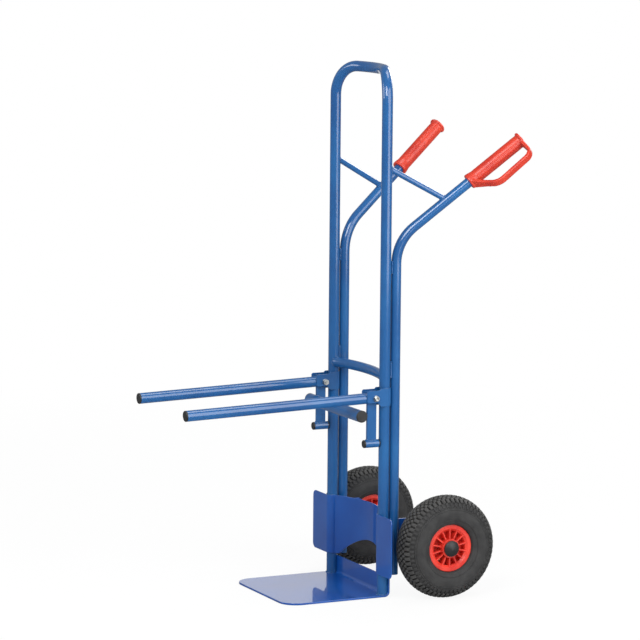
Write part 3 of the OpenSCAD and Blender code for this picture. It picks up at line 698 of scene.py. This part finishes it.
# weld beads: rippled lines along the seams, painted with the tubes
weldLook = {
    "radius": 0.0019, "squeeze": 0.62, "pitch": 0.0015, "segments": 8, "rings": 6,
    "roundSteps": 30, "arcSteps": 16,
}
frameSeamPlace = {
    "uprightR": 0.0135, "handleR": 0.0125,
    "brace": {"radius": 0.007, "height": 1.078, "reach": 0.106},
    "cross": {"radius": 0.0125, "height": 0.554, "lean": 18.8},
    "rounds": (  # on the plate and on the guard: height, clearance, turn from, turn to, size
        (0.0056, 0.0003, 176, 364, 1.1), (0.2092, 0.0004, 180, 268, 0.9),
    ),
    "stitches": {"outs": (0.0047,), "y": -0.0131, "size": 1.0,
                 "runs": ((0.080, 0.105), (0.128, 0.153), (0.174, 0.199))},
    "spacers": {"outs": (-0.0050, 0.0050), "y": 0.0150, "size": 1.45,
                "runs": ((0.104, 0.144), (0.554, 0.594), (0.815, 0.845))},
    "bracket": {"outs": (-0.0036, 0.0036), "y": 0.0412, "size": 1.0, "runs": ((0.098, 0.192),)},
}


# where a tube that runs along meets the tube round axis, on the side where it enters or leaves it
def seamRound(start, along, radius, axisPoint, axis, mainRadius, leaving):
    along, axis = Vector(along).normalized(), Vector(axis).normalized()
    first = along.orthogonal().normalized()
    second = along.cross(first)
    slant = along - axis * along.dot(axis)
    points = []
    for k in range(weldLook["roundSteps"]):
        turn = 2 * math.pi * k / weldLook["roundSteps"]
        point = Vector(start) + radius * (math.cos(turn) * first + math.sin(turn) * second)
        away = point - Vector(axisPoint)
        away -= axis * away.dot(axis)
        half = away.dot(slant) / slant.dot(slant)
        rest = (away.dot(away) - mainRadius ** 2) / slant.dot(slant)
        root = math.sqrt(max(half * half - rest, 0.0))
        points.append(point + along * (-half + root if leaving else -half - root))
    return points


def seamArc(centre, radius, height, start, end):
    points = []
    for k in range(weldLook["arcSteps"] + 1):
        turn = math.radians(start + (end - start) * k / weldLook["arcSteps"])
        points.append(Vector((centre + radius * math.cos(turn), radius * math.sin(turn), height)))
    return points


def frameSeams():  # points, closed, size, on the right side
    at = frameSeamPlace
    brace, cross = at["brace"], at["cross"]
    x = handleLine["side"]
    upright = ((x, 0, 0), (0, 0, 1), at["uprightR"], True)
    start, along = handleEnd()
    braceFrom = Vector((x, 0, brace["height"]))
    braceWay = start + brace["reach"] * along - braceFrom
    lean = math.radians(cross["lean"])
    crossWay = (-math.cos(lean), math.sin(lean), 0)
    seams = [
        (seamRound(braceFrom, braceWay, brace["radius"], *upright), True, 1.0),
        (seamRound(braceFrom, braceWay, brace["radius"], start, along, at["handleR"], False), True, 1.0),
        (seamRound((x, 0, cross["height"]), crossWay, cross["radius"], *upright), True, 1.0),
    ]
    for height, clearance, turnFrom, turnTo, size in at["rounds"]:
        seams.append((seamArc(x, at["uprightR"] + clearance, height, turnFrom, turnTo), False, size))
    for lines in (at["stitches"], at["spacers"], at["bracket"]):
        for run in lines["runs"]:
            for out in lines["outs"]:
                seams.append(([Vector((x + out, lines["y"], z)) for z in run], False, lines["size"]))
    return seams


forkSeamPlace = {
    "ends": (-0.0245, -0.0475), "outs": (-0.0044, 0.0044), "size": 1.0,  # along the legs' sides
    "arm": {"height": 0.505, "fall": 1.5, "pivotFront": 0.031, "under": 0.01275},
    "foot": 0.390, "footRise": 0.0090, "cross": 0.460,
    "fronts": (  # lines across the legs: from which height, how far above it, and Y
        ("foot", 0.0094, -0.0484), ("cross", 0.0036, -0.0490), ("cross", -0.0036, -0.0490),
    ),
    "frontHalf": 0.0035, "frontSize": 1.15,
}


def forkSeams():  # points, closed, size, on the right side
    at = forkSeamPlace
    arm = at["arm"]
    x = handleLine["side"]
    slope = math.tan(math.radians(arm["fall"]))
    seams = []
    for out in at["outs"]:
        underArm = [Vector((x + out, y, arm["height"] + (y + arm["pivotFront"]) * slope - arm["under"]))
                    for y in at["ends"]]
        seams.append((underArm, False, at["size"]))
        onFoot = [Vector((x + out, y, at["foot"] + at["footRise"])) for y in at["ends"]]
        seams.append((onFoot, False, at["size"]))
    for level, rise, y in at["fronts"]:
        across = [Vector((x + out, y, at[level] + rise)) for out in (-at["frontHalf"], at["frontHalf"])]
        seams.append((across, False, at["frontSize"]))
    return seams


def makeRipple():
    freshStart()
    bpy.ops.mesh.primitive_uv_sphere_add(segments=weldLook["segments"], ring_count=weldLook["rings"],
                                         radius=weldLook["radius"])
    ripple = bpy.context.object
    editAll(ripple)
    bpy.ops.transform.rotate(value=math.pi / 2, orient_axis="Y", center_override=(0, 0, 0))
    bpy.ops.transform.resize(value=(weldLook["squeeze"], 1, 1), center_override=(0, 0, 0))
    bpy.ops.object.mode_set(mode="OBJECT")
    return ripple


def seamPath(points, closed):
    line = bpy.data.curves.new("seam", "CURVE")
    line.dimensions = "3D"
    spline = line.splines.new("POLY")
    spline.points.add(len(points) - 1)
    for knot, point in zip(spline.points, points):
        knot.co = (*point, 1.0)
    spline.use_cyclic_u = closed
    path = bpy.data.objects.new("seam", line)
    bpy.context.collection.objects.link(path)
    return path


def layBead(ripple, points, closed, size):
    path = seamPath(points, closed)
    bead = ownCopy(ripple, "bead")
    bead.data.transform(Matrix.Scale(size, 4))
    row = bead.modifiers.new("row", "ARRAY")
    row.fit_type = "FIT_CURVE"
    row.curve = path
    row.use_relative_offset = False
    row.use_constant_offset = True
    row.constant_offset_displace = (weldLook["pitch"] * size, 0, 0)
    follow = bead.modifiers.new("follow", "CURVE")
    follow.object = path
    applyAll(bead)
    bpy.data.objects.remove(path)
    return bead


def weldSeams(name, seams, body):
    ripple = makeRipple()
    beads = []
    for points, closed, size in seams:
        beads.append(layBead(ripple, points, closed, size))
        beads.append(layBead(ripple, [flipped(point) for point in points], closed, size))
    welds = joinAs(beads, name)
    dress(welds, litTubeCoat)
    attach(welds, body)
    bpy.data.objects.remove(ripple)
    print(name, len(beads), "seams,", len(welds.data.polygons), "faces")


weldSeams("frameWelds", frameSeams(), "frame")
weldSeams("forkWelds", forkSeams(), "fork")

photoView = {
    "azimuth": 64.209, "elevation": 8.002, "roll": 0.470, "distance": 9.00774,
    "target": (-0.22646, 0.0, 0.64985), "lens": 196.875, "sensor": 36.0, "sight": 200.0,
}


def setCamera():
    azimuth, elevation, roll = (math.radians(photoView[turn]) for turn in ("azimuth", "elevation", "roll"))
    level = math.cos(elevation)
    back = Vector((math.sin(azimuth) * level, -math.cos(azimuth) * level, math.sin(elevation)))
    right = Vector((math.cos(azimuth), math.sin(azimuth), 0.0))
    up = back.cross(right)
    rolledRight = math.cos(roll) * right + math.sin(roll) * up
    rolledUp = -math.sin(roll) * right + math.cos(roll) * up
    bpy.ops.object.camera_add(location=Vector(photoView["target"]) + photoView["distance"] * back)
    camera = bpy.context.object
    camera.rotation_mode = "QUATERNION"
    camera.rotation_quaternion = Matrix((rolledRight, rolledUp, back)).transposed().to_quaternion()
    camera.data.sensor_width = photoView["sensor"]
    camera.data.lens = photoView["lens"]
    camera.data.clip_end = photoView["sight"]
    bpy.context.scene.camera = camera


setCamera()

floorLook = {
    "size": 90.0, "drop": 0.0004, "colour": (0.86, 0.86, 0.86, 1.0),
    "glow": 0.90, "whiteFrom": 0.8, "whiteRun": 2.4,  # the camera sees pure white away from the part
    "mirrored": 0.22,
}


def rayShare(tree, kind):  # 1 for rays of this kind
    return Wire.node(tree, "ShaderNodeLightPath", out="Is " + kind + " Ray")


def seenShare(tree):  # 1 for what the camera sees
    return (rayShare(tree, "Camera") + rayShare(tree, "Transmission")).clamped()


def whiteGlow(tree, strength):
    return Wire.node(tree, "ShaderNodeEmission", None, {"Color": plainWhite, "Strength": strength})


def mixShaders(share, first, second):
    return Wire.node(share.tree, "ShaderNodeMixShader", None, {0: share, 1: first, 2: second})


def layFloor():
    freshStart()
    bpy.ops.mesh.primitive_plane_add(size=floorLook["size"], location=(0, 0, -floorLook["drop"]))
    floor = bpy.context.object
    floor.name = "floor"
    made = bpy.data.materials.new("paleFloor")
    made.use_nodes = True
    tree = made.node_tree
    tree.nodes.clear()
    x, y = split(objectPlace(tree))[:2]
    away = (distance(x, y) - floorLook["whiteFrom"]) / floorLook["whiteRun"]
    white = floorLook["glow"] + away.clamped() * (1 - floorLook["glow"])
    matt = Wire.node(tree, "ShaderNodeBsdfDiffuse", None, {"Color": floorLook["colour"]})
    plain = mixShaders(rayShare(tree, "Glossy"), matt, whiteGlow(tree, floorLook["mirrored"]))
    both = mixShaders(seenShare(tree) * white, plain, whiteGlow(tree, 1.0))
    tree.links.new(both.socket, tree.nodes.new("ShaderNodeOutputMaterial").inputs["Surface"])
    floor.data.materials.append(made)


layFloor()

studio = {
    "ambient": 0.22, "mirrored": 0.28,
    "card": {"place": (-5.35, 2.6, 0.85), "size": (4.4, 1.6), "strength": 0.95},  # seen only in reflections
    "lamps": (  # name, place, aim, width, height, watts
        ("keySoftbox", (3.4, 1.2, 1.9), (0, 0, 0.9), 3.4, 3.4, 118),
        ("cameraSoftbox", (2.6, -2.7, 3.5), (0, 0, 0.9), 2.2, 2.2, 125),
        ("frontSoftbox", (-1.6, -4.0, 2.4), (0, 0, 0.4), 2.0, 2.0, 50),
        ("topSoftbox", (0.0, 1.0, 4.6), (0, 0, 0.6), 2.0, 2.0, 48),
        ("backSoftbox", (-2.2, 3.6, 2.6), (0, 0, 0.6), 2.0, 2.0, 85),
    ),
}


def lightWorld():
    world = bpy.data.worlds.new("studio")
    bpy.context.scene.world = world
    world.use_nodes = True
    tree = world.node_tree
    ground = tree.nodes["Background"]
    ground.inputs["Color"].default_value = plainWhite
    sky = (studio["ambient"] + seenShare(tree) * (1 - studio["ambient"])
           + rayShare(tree, "Glossy") * (studio["mirrored"] - studio["ambient"]))
    tree.links.new(sky.socket, ground.inputs["Strength"])


def standCard():
    look = studio["card"]
    freshStart()
    bpy.ops.mesh.primitive_plane_add(size=1.0, location=look["place"])
    card = bpy.context.object
    card.name = "whiteCard"
    card.scale = (*look["size"], 1)
    toward = Vector((-look["place"][0], -look["place"][1], 0))
    card.rotation_euler = toward.to_track_quat("Z", "Y").to_euler()
    card.visible_camera = False
    card.visible_diffuse = False
    card.visible_shadow = False
    made = bpy.data.materials.new("cardGlow")
    made.use_nodes = True
    shader = made.node_tree.nodes["Principled BSDF"]
    shader.inputs["Base Color"].default_value = plainBlack
    shader.inputs["Emission Color"].default_value = plainWhite
    shader.inputs["Emission Strength"].default_value = look["strength"]
    card.data.materials.append(made)


def hangLamps():
    for name, place, aim, width, height, watts in studio["lamps"]:
        bpy.ops.object.light_add(type="AREA", location=place)
        lamp = bpy.context.object
        lamp.name = name
        lamp.data.shape = "RECTANGLE"
        lamp.data.size = width
        lamp.data.size_y = height
        lamp.data.energy = watts
        lamp.rotation_euler = (Vector(place) - Vector(aim)).to_track_quat("Z", "Y").to_euler()


lightWorld()
standCard()
hangLamps()
bpy.context.scene.view_settings.view_transform = "Standard"
print("camera, floor and light set")
